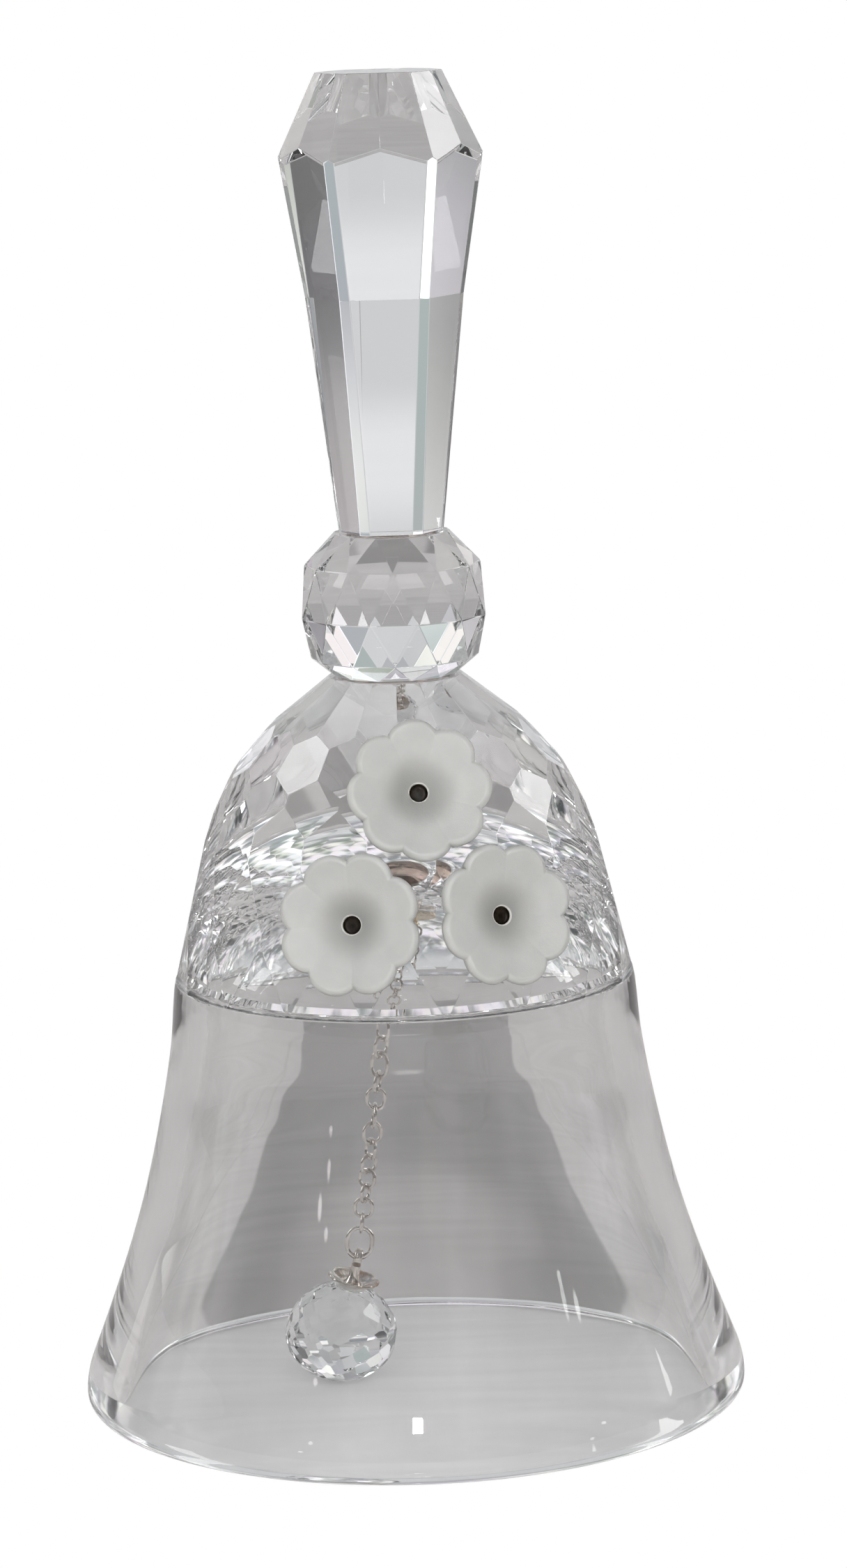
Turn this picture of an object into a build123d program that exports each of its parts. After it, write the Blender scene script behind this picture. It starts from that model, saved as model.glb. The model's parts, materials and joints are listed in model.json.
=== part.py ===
from build123d import *
import math
import os
import numpy as np

# A glass hand bell that stands on its rim: a thick bell with a cut dome, a cut collar ball,
# a tapering six-sided grip, three frosted flowers and a crystal clapper on a fine chain.
# Millimetres. The origin is the centre of the rim's plane, +Z is up, the flowers face -Y.

FRONT = -90.0                      # azimuth of the side with the flowers, degrees

# ---- bell
RIM_R = 35.2                       # widest radius, at the mouth
WAIST_R = 24.2                     # radius where the smooth skirt meets the cut dome
SKIRT_H = 45.5                     # height of the smooth skirt
DOME_H = 31.9                      # from the skirt's top to the flat on top of the dome
NECK_R = 6.3                       # the dome's outline narrows to this at that flat
RIM_WALL = 3.9                     # glass at the mouth
WAIST_WALL = 3.3                   # glass at the waist
CROWN_GLASS = 17.4                 # solid glass between the cavity and the dome's flat
CAVITY_DOME_H = 17.0               # height of the cavity's rounded ceiling
OUTER_LIP_R = 1.3                  # rounding of the rim, outside
INNER_LIP_R = 0.8                  # rounding of the rim, inside
LEDGE = 0.05                       # the cut dome stands this far inside the skirt's top
DOME_SIDES = 18                    # facets in each row of the dome
WAIST_SLOPE = 0.14                 # how fast the outline closes in at the waist

# The skirt's outline between the lip (0) and the waist (1): height and how far it is flared.
SKIRT_FLARE = ((0.10, 0.90), (0.21, 0.73), (0.43, 0.43), (0.65, 0.21), (0.87, 0.055))
# Rows of dome facets: height up the dome, and distance of the facet from the axis as a share
# of the way from the neck to the waist.
DOME_ROWS = ((0.29, 0.872), (0.475, 0.773), (0.635, 0.665), (0.785, 0.475), (0.905, 0.245))

# ---- collar ball
COLLAR_SIDES = 12
COLLAR_H = 14.9
COLLAR_GIRDLE_R = 9.9
# Rings of corners: height share, radius share, and turn as a share of one side.
COLLAR_RINGS = ((0.0, 0.65, 0.5), (0.12, 0.885, 0.0), (0.42, 1.0, 0.5), (0.78, 0.93, 0.0),
                (1.0, 0.62, 0.5))

# ---- grip
GRIP_H = 47.4
GRIP_FOOT_R = 5.45                 # to the narrow corner facets, at the foot
GRIP_KNEE_R = 8.2                  # the same, where the grip starts to flare more
GRIP_KNEE_H = 24.5
GRIP_GIRDLE_R = 10.65              # the same, at the widest place
GRIP_GIRDLE_H = 39.5
GRIP_CORNER_CUT = 0.35             # depth of the narrow facets that cut the six corners
CROWN_SIDES = 18
CROWN_LOW_TILT = 24.0              # degrees from upright
CROWN_HIGH_TILT = 33.0
CROWN_BREAK_H = 4.4                # from the girdle to where the steeper row gives way
BOND_T = 0.15                      # clear adhesive between the stacked pieces

# ---- flowers
FLOWER_R = 7.45                    # to the petal tips
FLOWER_NOTCH_R = 6.55
FLOWER_PETALS = 8
FLOWER_T = 1.5                     # glass thickness
FLOWER_CUP = 1.5                   # how far the tips stand in front of the centre
FLOWER_HOLE_R = 0.95
FLOWER_GAP = 0.7                   # adhesive between a flower's back and the dome
PAD_R = 2.7                        # adhesive pad behind a flower
# Name, azimuth from the front, height, upward tilt, and turn of the petals (degrees, mm).
FLOWERS = (("flower_top", 6.1, 67.3, 24.0, 3.0),
           ("flower_left", -12.7, 55.0, 14.0, 27.0),
           ("flower_right", 25.4, 55.2, 14.0, 15.0))

# ---- anchor in the top of the cavity
ANCHOR_DROP = 0.35                 # adhesive above the plate, at the axis
ANCHOR_PLATE_R = 3.4
ANCHOR_PLATE_T = 0.8
ANCHOR_WIRE = 0.5
ANCHOR_EYE_R = 1.05                # to the middle of the wire
ANCHOR_STEM = 0.55                 # plate to the middle of the wire

# ---- chain
LINK_COUNT = 23
LINK_WIRE = 0.4
LINK_SLIMNESS = 0.9                # a link's outer width as a share of its outer length
LINK_TWIST = 102.0                 # each link is turned this far from the one above
LINK_GAP = 0.04                    # play between two links' wires
RING_WIRE = 0.5
RING_WIDTH = 3.14
RING_LENGTH = 3.7

# ---- clapper
BALL_R = 6.0
BALL_FACETS = 120
BALL_FACET_DEPTH = 0.98            # facet planes, as a share of the radius to the corners
BALL_FLAT_DEPTH = 0.93             # the flat that carries the cap, likewise
CAP_R = 2.8
CAP_NOTCH_R = 2.65                 # the cap's edge is wavy
CAP_WAVES = 8
CAP_FOOT_R = 1.8
CAP_T = 0.35
CAP_RISE = 0.75
TAB_H = 2.75                       # from the cap's floor to the eye's centre
TAB_FOOT_R = 0.75
TAB_NECK_R = 0.5
EYE_T = 0.9
EYE_R = 1.0
EYE_PLAY = 0.25                    # between the ring's wire and the eye's hole
EYE_HOLE_R = RING_WIRE / 2 + EYE_PLAY
# At rest the clapper stands on the table inside the bell, with the chain leaning to reach it.
REST_REACH = 7.9                   # from the bell's axis to the ball's centre
REST_AZIMUTH = -88.5               # from the front, positive towards +X
CLAPPER_TILT_X = 13.5              # lean of the clapper's own axis towards +X, degrees
CLAPPER_TILT_Y = -3.5              # and towards +Y

# ---- places that follow from the sizes
DOME_TOP = SKIRT_H + DOME_H
CAVITY_TOP = DOME_TOP - CROWN_GLASS
CAVITY_SPRING = CAVITY_TOP - CAVITY_DOME_H
MOUTH_R = RIM_R - RIM_WALL
COLLAR_Z = DOME_TOP + BOND_T
GRIP_Z = COLLAR_Z + COLLAR_H + BOND_T
PLATE_Z = CAVITY_TOP - ANCHOR_DROP - ANCHOR_PLATE_T
EYE_Z = PLATE_Z - ANCHOR_STEM - ANCHOR_EYE_R
HANG_POINT = Vector(0, 0, EYE_Z - ANCHOR_EYE_R)
CLAPPER_REACH = BALL_R * BALL_FLAT_DEPTH + BOND_T + CAP_T + TAB_H


def direction(azimuth, elevation=0.0):
    """Unit vector; azimuth is counted from the front, positive towards +X."""
    a = math.radians(FRONT + azimuth)
    e = math.radians(elevation)
    return Vector(math.cos(e) * math.cos(a), math.cos(e) * math.sin(a), math.sin(e))


# ------------------------------------------------------------------ cut crystal
def facet(azimuth, tilt, radius, height):
    """A plane through a point at that radius and height, its normal raised by the tilt."""
    normal = direction(azimuth, tilt)
    point = direction(azimuth) * radius + Vector(0, 0, height)
    return (*normal, normal.dot(point))


def level(height, up):
    """A horizontal plane, facing up or down."""
    return (0, 0, 1, height) if up else (0, 0, -1, -height)


def polygon(points):
    return Face(Wire.make_polygon([Vector(*p) for p in points], close=True))


def gem(planes):
    """The crystal that is left inside every plane; a plane is its normal and its distance."""
    table = np.array(planes, dtype=float)
    normals, reach = table[:, :3], table[:, 3]
    found = []
    for i in range(len(table) - 2):
        j, k = np.triu_indices(len(table) - i - 1, 1)
        j, k = j + i + 1, k + i + 1
        cross_jk = np.cross(normals[j], normals[k])
        volume = cross_jk @ normals[i]
        keep = np.abs(volume) > 1e-6
        j, k, cross_jk, volume = j[keep], k[keep], cross_jk[keep], volume[keep]
        corner = (reach[i] * cross_jk
                  + reach[j, None] * np.cross(normals[k], normals[i])
                  + reach[k, None] * np.cross(normals[i], normals[j])) / volume[:, None]
        inside = (corner @ normals.T <= reach + 1e-6).all(axis=1)
        found.append(corner[inside])
    corners = []
    for point in np.concatenate(found):
        if all(np.abs(point - other).max() > 1e-4 for other in corners):
            corners.append(point)
    corners = np.array(corners)
    faces = []
    for normal, distance in zip(normals, reach):
        rim = corners[np.abs(corners @ normal - distance) < 1e-4]
        if len(rim) < 3:
            continue
        side = np.cross(normal, [0.0, 0.0, 1.0] if abs(normal[2]) < 0.9 else [1.0, 0.0, 0.0])
        spokes = rim - rim.mean(axis=0)
        turn = np.arctan2(spokes @ np.cross(normal, side), spokes @ side)
        faces.append(polygon(rim[np.argsort(turn)]))
    return Solid(Shell(faces))


def ring_of_corners(radius, height, sides, turn):
    step = 360.0 / sides
    return [direction((k + turn) * step) * radius + Vector(0, 0, height) for k in range(sides)]


def banded_ball(rings, sides):
    """Bands of triangles between rings of corners, closed by a flat at each end."""
    faces = [polygon(rings[0]), polygon(rings[-1])]
    for low, high, low_leads in zip(rings, rings[1:], (k % 2 for k in range(len(rings)))):
        for k in range(sides):
            after = (k + 1) % sides
            if low_leads:
                faces.append(polygon([low[k], low[after], high[k]]))
                faces.append(polygon([high[k], high[after], low[after]]))
            else:
                faces.append(polygon([low[k], low[after], high[after]]))
                faces.append(polygon([high[k], high[after], low[k]]))
    return Solid(Shell(faces))


# ------------------------------------------------------------------ bell
def skirt_point(height_share, flare):
    """A point of the skirt's outline: radius and height."""
    radius = WAIST_R + (RIM_R - WAIST_R) * flare
    return (radius, OUTER_LIP_R + (SKIRT_H - OUTER_LIP_R) * height_share)


def wall_at(height):
    return RIM_WALL + (WAIST_WALL - RIM_WALL) * height / SKIRT_H


def revolved(edges):
    """A turned solid; the outline is given as radius and height."""
    return revolve(Plane.XZ * make_face(edges), Axis.Z)


def skirt():
    start = skirt_point(0, 1)
    end = skirt_point(1, 0)
    lip_centre = (RIM_R - OUTER_LIP_R, OUTER_LIP_R)
    wall = Spline([start, *(skirt_point(*share) for share in SKIRT_FLARE), end],
                  tangents=[(0, 1), (-WAIST_SLOPE, 1)])
    edges = [Line((0, 0), (lip_centre[0], 0)),
             CenterArc(lip_centre, OUTER_LIP_R, -90, 90),
             wall,
             Line(end, (0, SKIRT_H)),
             Line((0, SKIRT_H), (0, 0))]
    return revolved(edges)


def cavity():
    """The hollow, running a little below the rim so that it cuts cleanly."""
    below = -1.0
    lip_centre = (MOUTH_R + INNER_LIP_R, INNER_LIP_R)
    points = [(MOUTH_R, INNER_LIP_R)]
    for share in SKIRT_FLARE[1:]:
        radius, height = skirt_point(*share)
        if height < CAVITY_SPRING - WAIST_WALL:
            points.append((radius - wall_at(height), height))
    spring_r = WAIST_R + (SKIRT_H - CAVITY_SPRING) * WAIST_SLOPE - wall_at(CAVITY_SPRING)
    points.append((spring_r, CAVITY_SPRING))
    round_off = 0.5523                # makes a Bezier curve a quarter of an ellipse
    edges = [Spline(points, tangents=[(-0.3, 1), (0, 1)]),
             Bezier(points[-1], (spring_r, CAVITY_SPRING + CAVITY_DOME_H * round_off),
                    (spring_r * round_off, CAVITY_TOP), (0, CAVITY_TOP)),
             Line((0, CAVITY_TOP), (0, below)),
             Line((0, below), (lip_centre[0], below)),
             Line((lip_centre[0], below), (lip_centre[0], 0)),
             CenterArc(lip_centre, INNER_LIP_R, -90, -90)]
    return revolved(edges)


def dome_chart():
    """The dome's outline: height above the waist and radius, one entry for each row."""
    chart = [(0.0, WAIST_R)]
    for height, share in DOME_ROWS:
        chart.append((height * DOME_H, NECK_R + (WAIST_R - NECK_R) * share))
    chart.append((DOME_H, NECK_R))
    return chart


def dome_radius(height):
    """Radius of the dome's outline at a height."""
    chart = dome_chart()
    return float(np.interp(height - SKIRT_H, [h for h, _ in chart], [r for _, r in chart]))


def cut_dome():
    step = 360.0 / DOME_SIDES
    chart = dome_chart()
    chart[0] = (0.0, (WAIST_R - LEDGE) * math.cos(math.radians(step / 2)))
    planes = [level(SKIRT_H, False), level(DOME_TOP, True)]
    for row in range(len(chart) - 1):
        tilt = math.degrees(math.atan(WAIST_SLOPE))
        if row:
            (low_h, low_r), (high_h, high_r) = chart[row - 1], chart[row + 1]
            tilt = math.degrees(math.atan2(low_r - high_r, high_h - low_h))
        height, radius = chart[row]
        for k in range(DOME_SIDES):
            azimuth = (k + 0.5 * (row % 2)) * step
            planes.append(facet(azimuth, tilt, radius, SKIRT_H + height))
    return gem(planes)


hollow = cavity()
bell_shell = skirt() + cut_dome() - hollow


# ------------------------------------------------------------------ collar ball and grip
def collar_ball():
    rings = []
    for height, radius, turn in COLLAR_RINGS:
        rings.append(ring_of_corners(COLLAR_GIRDLE_R * radius, COLLAR_Z + COLLAR_H * height,
                                     COLLAR_SIDES, turn))
    return banded_ball(rings, COLLAR_SIDES)


def flat_radius(corner_r):
    """Distance of a wide face, from the distance of the narrow facets at the corners."""
    return (corner_r + GRIP_CORNER_CUT) * math.cos(math.radians(30))


def six_sides(low_h, low_r, high_h, high_r):
    """Six wide faces and the narrow facets that cut their corners, between two heights."""
    planes = []
    for turn, low, high in ((0, flat_radius(low_r), flat_radius(high_r)), (30, low_r, high_r)):
        tilt = -math.degrees(math.atan2(high - low, high_h - low_h))
        for k in range(6):
            planes.append(facet(60 * k + turn, tilt, low, GRIP_Z + low_h))
    return planes


def grip():
    knee = GRIP_Z + GRIP_KNEE_H
    girdle = GRIP_Z + GRIP_GIRDLE_H
    shank = gem([level(GRIP_Z, False), level(knee, True),
                 *six_sides(0, GRIP_FOOT_R, GRIP_KNEE_H, GRIP_KNEE_R)])
    planes = [level(knee, False), level(GRIP_Z + GRIP_H, True),
              *six_sides(GRIP_KNEE_H, GRIP_KNEE_R, GRIP_GIRDLE_H, GRIP_GIRDLE_R)]
    step = 360.0 / CROWN_SIDES
    break_r = GRIP_GIRDLE_R - CROWN_BREAK_H * math.tan(math.radians(CROWN_LOW_TILT))
    for k in range(CROWN_SIDES):
        azimuth = (k + 0.5) * step
        off_face = math.radians((azimuth + 30) % 60 - 30)
        edge_r = min(GRIP_GIRDLE_R, flat_radius(GRIP_GIRDLE_R) / math.cos(off_face))
        planes.append(facet(azimuth, CROWN_LOW_TILT, edge_r, girdle))
        planes.append(facet(k * step, CROWN_HIGH_TILT, break_r, girdle + CROWN_BREAK_H))
    return shank + gem(planes)


def disc(radius, thickness, height):
    return Pos(0, 0, height + thickness / 2) * Cylinder(radius, thickness)


collar = collar_ball()
grip_handle = grip()
collar_bond = disc(COLLAR_GIRDLE_R * COLLAR_RINGS[0][1] * 0.92, BOND_T, DOME_TOP)
grip_bond = disc(flat_radius(GRIP_FOOT_R) * 0.97, BOND_T, COLLAR_Z + COLLAR_H)


# ------------------------------------------------------------------ flowers
def petals(tip_r, notch_r, count):
    """Flat outline of round petals that meet in notches."""
    half = math.radians(180.0 / count)
    centre_r = (tip_r ** 2 - notch_r ** 2) / (2 * (tip_r - notch_r * math.cos(half)))
    outline = Circle(centre_r)
    for k in range(count):
        outline += Rot(0, 0, 360.0 / count * k) * Pos(centre_r, 0) * Circle(tip_r - centre_r)
    return outline


def bowl_arc(start_height, bend_r, far):
    """An arc that leaves the axis level and rises to the far radius."""
    def rise(radius):
        return start_height + bend_r - math.sqrt(bend_r ** 2 - radius ** 2)
    return ThreePointArc((0, rise(0)), (far / 2, rise(far / 2)), (far, rise(far)))


def flower():
    """A cupped flower facing +Z, its hole's front edge at the origin."""
    bend_r = (FLOWER_R ** 2 + FLOWER_CUP ** 2) / (2 * FLOWER_CUP)
    far = FLOWER_R * 1.1
    front = bowl_arc(0, bend_r, far)
    back = bowl_arc(-FLOWER_T, bend_r * 0.97, far)
    cup = revolved([front, Line(front @ 1, back @ 1), back, Line(back @ 0, front @ 0)])
    outline = petals(FLOWER_R, FLOWER_NOTCH_R, FLOWER_PETALS)
    prism = Pos(0, 0, -2 * FLOWER_T) * extrude(outline, 2 * FLOWER_T + 2 * FLOWER_CUP)
    return (cup & prism) - Cylinder(FLOWER_HOLE_R, 4 * FLOWER_T)


flowers = {}
pads = {}
for name, azimuth, height, tilt, turn in FLOWERS:
    outward = direction(azimuth, tilt)
    foot = direction(azimuth) * dome_radius(height) + Vector(0, 0, height)
    centre = foot + outward * (FLOWER_GAP + FLOWER_T)
    seat = Plane(origin=centre, x_dir=direction(azimuth + 90), z_dir=outward).location
    flowers[name] = seat * Rot(0, 0, turn) * flower()
    reach = FLOWER_GAP + FLOWER_T + PAD_R
    rod = disc(PAD_R, reach, -reach) - Cylinder(FLOWER_HOLE_R, 2 * FLOWER_T)
    pads[name + "_pad"] = seat * rod - bell_shell - flowers[name]


# ------------------------------------------------------------------ anchor
def upright(across):
    """A frame whose X runs along the given level direction and whose Y points down."""
    return Plane(origin=(0, 0, EYE_Z), x_dir=across, z_dir=Vector(0, 0, 1).cross(across))


def anchor_eye(across):
    eye = upright(across).location * Torus(ANCHOR_EYE_R, ANCHOR_WIRE / 2)
    stem_z = EYE_Z + ANCHOR_EYE_R
    return eye + disc(ANCHOR_WIRE / 2, PLATE_Z + ANCHOR_PLATE_T / 2 - stem_z, stem_z)


# ------------------------------------------------------------------ wire rings
def oval_ring(wire, width, length):
    """An oval ring of wire in the XZ plane; the middle of its lower wire is the origin."""
    half = (width - wire) / 2
    straight = length - width
    section = Pos(half, 0) * Circle(wire / 2)
    low_bow = Pos(0, 0, half) * revolve(section, Axis.Y, 180)
    high_bow = Pos(0, 0, half + straight) * revolve(section, Axis.Y, -180)
    side = Pos(0, 0, half) * extrude(section, straight)
    return low_bow + high_bow + side + Pos(-2 * half, 0, 0) * side


# ------------------------------------------------------------------ clapper and chain
ball_centre = direction(REST_AZIMUTH) * REST_REACH + Vector(0, 0, BALL_R)
clapper_up = Vector(math.tan(math.radians(CLAPPER_TILT_X)),
                    math.tan(math.radians(CLAPPER_TILT_Y)), 1).normalized()
ring_point = ball_centre + clapper_up * CLAPPER_REACH
chain_run = ring_point - HANG_POINT
chain_down = chain_run.normalized()
ring_tangent = (Vector(1, 0, 0) - chain_down * chain_down.X).normalized()
ring_inner = RING_LENGTH - 2 * RING_WIRE
ring_step = ring_inner - LINK_GAP + (RING_WIRE - LINK_WIRE) / 2
links_run = chain_run.length - ring_step
link_step = (links_run + (ANCHOR_WIRE - LINK_WIRE) / 2) / LINK_COUNT
link_length = link_step + LINK_GAP + 2 * LINK_WIRE


def link_tangent(number):
    """Direction of the lower wire of a link; link 0 is the anchor's eye."""
    turn = 90.0 + LINK_TWIST * (LINK_COUNT - number)
    return ring_tangent.rotate(Axis((0, 0, 0), chain_down), turn)


def link_point(number):
    """Middle of the lower wire of a link, where the next link hangs."""
    above = 0 if number == 0 else number * link_step - (ANCHOR_WIRE - LINK_WIRE) / 2
    return HANG_POINT + chain_down * above


def hung(point, tangent):
    """The place of a ring whose lower wire passes through the point along the tangent."""
    normal = (-chain_down).cross(tangent)
    return Plane(origin=point, x_dir=tangent, z_dir=normal).location * Rot(90, 0, 0)


links = {}
for number in range(1, LINK_COUNT + 1):
    ring = oval_ring(LINK_WIRE, link_length * LINK_SLIMNESS, link_length)
    place = hung(link_point(number), link_tangent(number))
    links[f"chain_link_{number:02d}"] = place * ring
jump_ring = hung(ring_point, ring_tangent) * oval_ring(RING_WIRE, RING_WIDTH, RING_LENGTH)

eye_level = link_tangent(0)
eye_level = Vector(eye_level.X, eye_level.Y, 0).normalized()
anchor = anchor_eye(eye_level)
plate_bore = disc(ANCHOR_WIRE / 2, ANCHOR_PLATE_T / 2, PLATE_Z)
anchor_plate = disc(ANCHOR_PLATE_R, ANCHOR_PLATE_T, PLATE_Z) - plate_bore
anchor_bond = disc(ANCHOR_PLATE_R * 0.9, 1.5, PLATE_Z + ANCHOR_PLATE_T) & hollow


def clapper_ball():
    """A cut ball round the origin with a flat on top; its facets follow a golden spiral."""
    golden = 180.0 * (3 - math.sqrt(5))
    planes = [(0, 0, 1, BALL_R * BALL_FLAT_DEPTH)]
    for k in range(BALL_FACETS):
        elevation = math.degrees(math.asin(1 - (2 * k + 1) / BALL_FACETS))
        planes.append((*direction(golden * k, elevation), BALL_R * BALL_FACET_DEPTH))
    return gem(planes)


def clapper_cap(floor):
    """A shallow dish with a wavy edge, standing on its foot."""
    outline = petals(CAP_R, CAP_NOTCH_R, CAP_WAVES)
    high = floor + CAP_RISE
    dish = revolved([Polyline((0, floor), (CAP_FOOT_R, floor), (CAP_R * 1.05, high),
                              (CAP_R * 1.05, high + CAP_T), (CAP_FOOT_R, floor + CAP_T),
                              (0, floor + CAP_T), close=True)])
    return dish & (Pos(0, 0, floor) * extrude(outline, CAP_RISE + 2 * CAP_T))


def clapper_tab(foot):
    """A tapered stem with a flat eye; the eye's hole runs along X."""
    stem = Cone(TAB_FOOT_R, TAB_NECK_R, TAB_H, align=(Align.CENTER, Align.CENTER, Align.MIN))
    eye_axis = Pos(0, 0, foot + TAB_H) * Rot(0, 90, 0)
    return Pos(0, 0, foot) * stem + eye_axis * Cylinder(EYE_R, EYE_T) \
        - eye_axis * Cylinder(EYE_HOLE_R, 4 * EYE_T)


flat_z = BALL_R * BALL_FLAT_DEPTH
clapper_side = (ring_tangent - clapper_up * clapper_up.dot(ring_tangent)).normalized()
clapper_place = Plane(origin=ball_centre, x_dir=clapper_side, z_dir=clapper_up).location

# ------------------------------------------------------------------ export
nodes = {
    "bell_shell": bell_shell,
    "collar_bond": collar_bond,
    "collar_ball": collar,
    "grip_bond": grip_bond,
    "grip_handle": grip_handle,
    **flowers,
    **pads,
    "anchor_bond": anchor_bond,
    "anchor_plate": anchor_plate,
    "anchor_eye": anchor,
    **links,
    "jump_ring": jump_ring,
    "clapper_tab": clapper_place * clapper_tab(flat_z + BOND_T + CAP_T),
    "clapper_cap": clapper_place * clapper_cap(flat_z + BOND_T),
    "clapper_bond": clapper_place * disc(CAP_FOOT_R * 0.95, BOND_T, flat_z),
    "clapper_ball": clapper_place * clapper_ball(),
}
os.makedirs("parts", exist_ok=True)
for name, shape in nodes.items():
    export_step(shape, f"parts/{name}.step")
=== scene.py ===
import json
import math

import bmesh
import bpy
import numpy as np
from mathutils import Matrix, Vector


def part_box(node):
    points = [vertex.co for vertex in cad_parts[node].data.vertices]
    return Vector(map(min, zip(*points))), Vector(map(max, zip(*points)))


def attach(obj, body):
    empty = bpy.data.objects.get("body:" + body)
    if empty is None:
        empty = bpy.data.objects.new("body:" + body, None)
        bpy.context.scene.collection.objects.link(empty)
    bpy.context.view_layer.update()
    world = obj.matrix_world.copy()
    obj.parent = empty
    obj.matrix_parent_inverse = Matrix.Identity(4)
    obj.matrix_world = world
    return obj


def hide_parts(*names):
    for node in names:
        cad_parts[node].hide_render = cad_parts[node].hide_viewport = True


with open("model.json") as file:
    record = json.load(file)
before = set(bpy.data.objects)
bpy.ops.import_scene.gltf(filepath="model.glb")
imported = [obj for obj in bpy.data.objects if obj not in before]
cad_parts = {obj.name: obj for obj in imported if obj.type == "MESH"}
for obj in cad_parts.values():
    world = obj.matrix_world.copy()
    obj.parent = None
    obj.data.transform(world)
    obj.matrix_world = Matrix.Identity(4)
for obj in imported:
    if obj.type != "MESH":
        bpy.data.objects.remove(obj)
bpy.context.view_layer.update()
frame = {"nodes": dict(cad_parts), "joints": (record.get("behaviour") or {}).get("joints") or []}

MM = 0.001
NODES = frame["nodes"]
JOINTS = {joint["name"]: joint for joint in frame["joints"]}
LINK_COUNT = sum(name.startswith("chain_link") for name in NODES)

# ---- cut and turned glass
WELD = 0.002 * MM                # corners nearer than this are one corner
FLAT = math.radians(0.4)         # triangles that differ less than this are one facet
RIDGE = 0.05                     # least turn, in radians, of an edge between facets
SHARP = math.radians(35)         # edges that turn more than this aren't shaded as rounded
FACET_EDGE = 0.07 * MM           # width of the polished edges between facets
CLAPPER_EDGE = 0.04 * MM
BACK_CUTS = ((-0.72, 0.06), (-0.2, 0.16), (0.33, 0.13), (0.78, 0.05))  # place, rise in mm
SKIRT_TURNS = 288                # steps round the turned glass
SKIRT_H = 45.5 * MM              # where the turned skirt meets the cut dome
WAIST_STEP = 0.12 * MM
WAIST_BLEND = 4.5 * MM           # over which the skirt loses the shape of the last facets
OUTLINE_STEP = 0.8 * MM          # least distance between the outline's guide points
OUTER_ROWS, LIP_ROWS, MOUTH_ROWS, INNER_ROWS = 70, 16, 12, 90
LIP_H = 1.3 * MM                 # rounded edge of the rim, outside and inside
MOUTH_H = 0.8 * MM

# ---- flowers
FLOWER_HOLE_R = 0.95 * MM
FLOWER_R = 7.45 * MM
FLOWER_NOTCH = 0.9 * MM          # how far the notches stand back from the petal tips
NOTCH_ROUNDNESS = 2.2
FLOWER_PETALS = 8
FLOWER_T = 1.5 * MM
FLOWER_CUP = 1.38 * MM           # how far the petal tips stand forward
PETAL_EDGE = 0.42 * FLOWER_T     # radius of the rolled edge
PETAL_CREASE = 0.10 * MM
CREASE_START = 0.35              # share of the way out where the creases begin
EDGE_THINNING = 0.16
HOLE_EASE = 1.12                 # how far the front stands back from the hole
WELL_R = 3.9 * MM                # the soft well round a flower's hole
WELL_DEPTH = 0.45 * MM
FLOWER_STEPS = 320
HOLE_SHADE_LINING = ((0.0, -1.05), (0.35, -1.0), (0.7, -1.08), (0.9, -0.95), (0.93, -0.8),
             (0.93, -0.62))      # radius and height of the dark lining that paints the hole's shade, in mm

# ---- chain and clapper
BOND_SHRINK = 0.15
LINK_WIRE = 0.4 * MM
LINK_PLAY = 0.04 * MM
LINK_SLIMNESS = 0.9              # width of a link over its length
RING_WIRE = 0.5 * MM
RING_W = 3.14 * MM
RING_L = 3.7 * MM
WIRE_SIDES = 14
SEAM_SWELL = 0.09                # the solder bead on a link's wire
SEAM_SPREAD = 1.1
CAP_R = 2.8 * MM
CAP_FOOT_R = 1.8 * MM
CAP_T = 0.3 * MM
CAP_RISE = 0.72 * MM
CAP_WAVE = 0.16 * MM
CAP_DIP = 0.1 * MM
CAP_STEPS = 16
EYE_H = 2.75 * MM
EYE_R = 1.0 * MM
EYE_HOLE_R = 0.5 * MM
EYE_HALF_T = 0.44 * MM
STEM_R = 0.55 * MM
STEM_FLARE = 0.42 * MM
STEM_TAPER = 0.06 * MM
SQUARENESS = 0.7                 # below 1 the eye's section is a rounded square

# ---- table, seen only through the glass, with its light and the bell's shadow painted into it
TABLE_SIZE = 6.0
UNDER_R = (30.0, 34.0)           # mm; the painted light under the bell, a paler colour and more glow, ends between these
SHADE_HALF = 0.0293              # half the width of the bell's shadow painted on the table
SHADE_BLUR = 0.0006
SHADE_END = 0.172                # how far behind the bell it ends
SHADE_CORNER = 0.05              # length and width of its rounded far corners
SHADE_CORNER_W = 0.008
POOL_Y = 0.062                   # a painted pool of light in the painted shadow, as the clapper's side throws it
POOL_SIZE = (0.02, 0.05)
POOL_SHARE = 0.6
LIT_TABLE_PAINTED_GLOW = 0.46                # glow painted into the table in place of lamp light: on the lit table, in the painted shadow and under the bell
SHADOW_PAINTED_GLOW = 0.08
UNDER_BELL_PAINTED_GLOW = 0.25
GLOW_Y = -0.325                  # a painted glowing patch on the table before the bell, seen only in polished faces
GLOW_STRENGTH = 7.0

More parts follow.
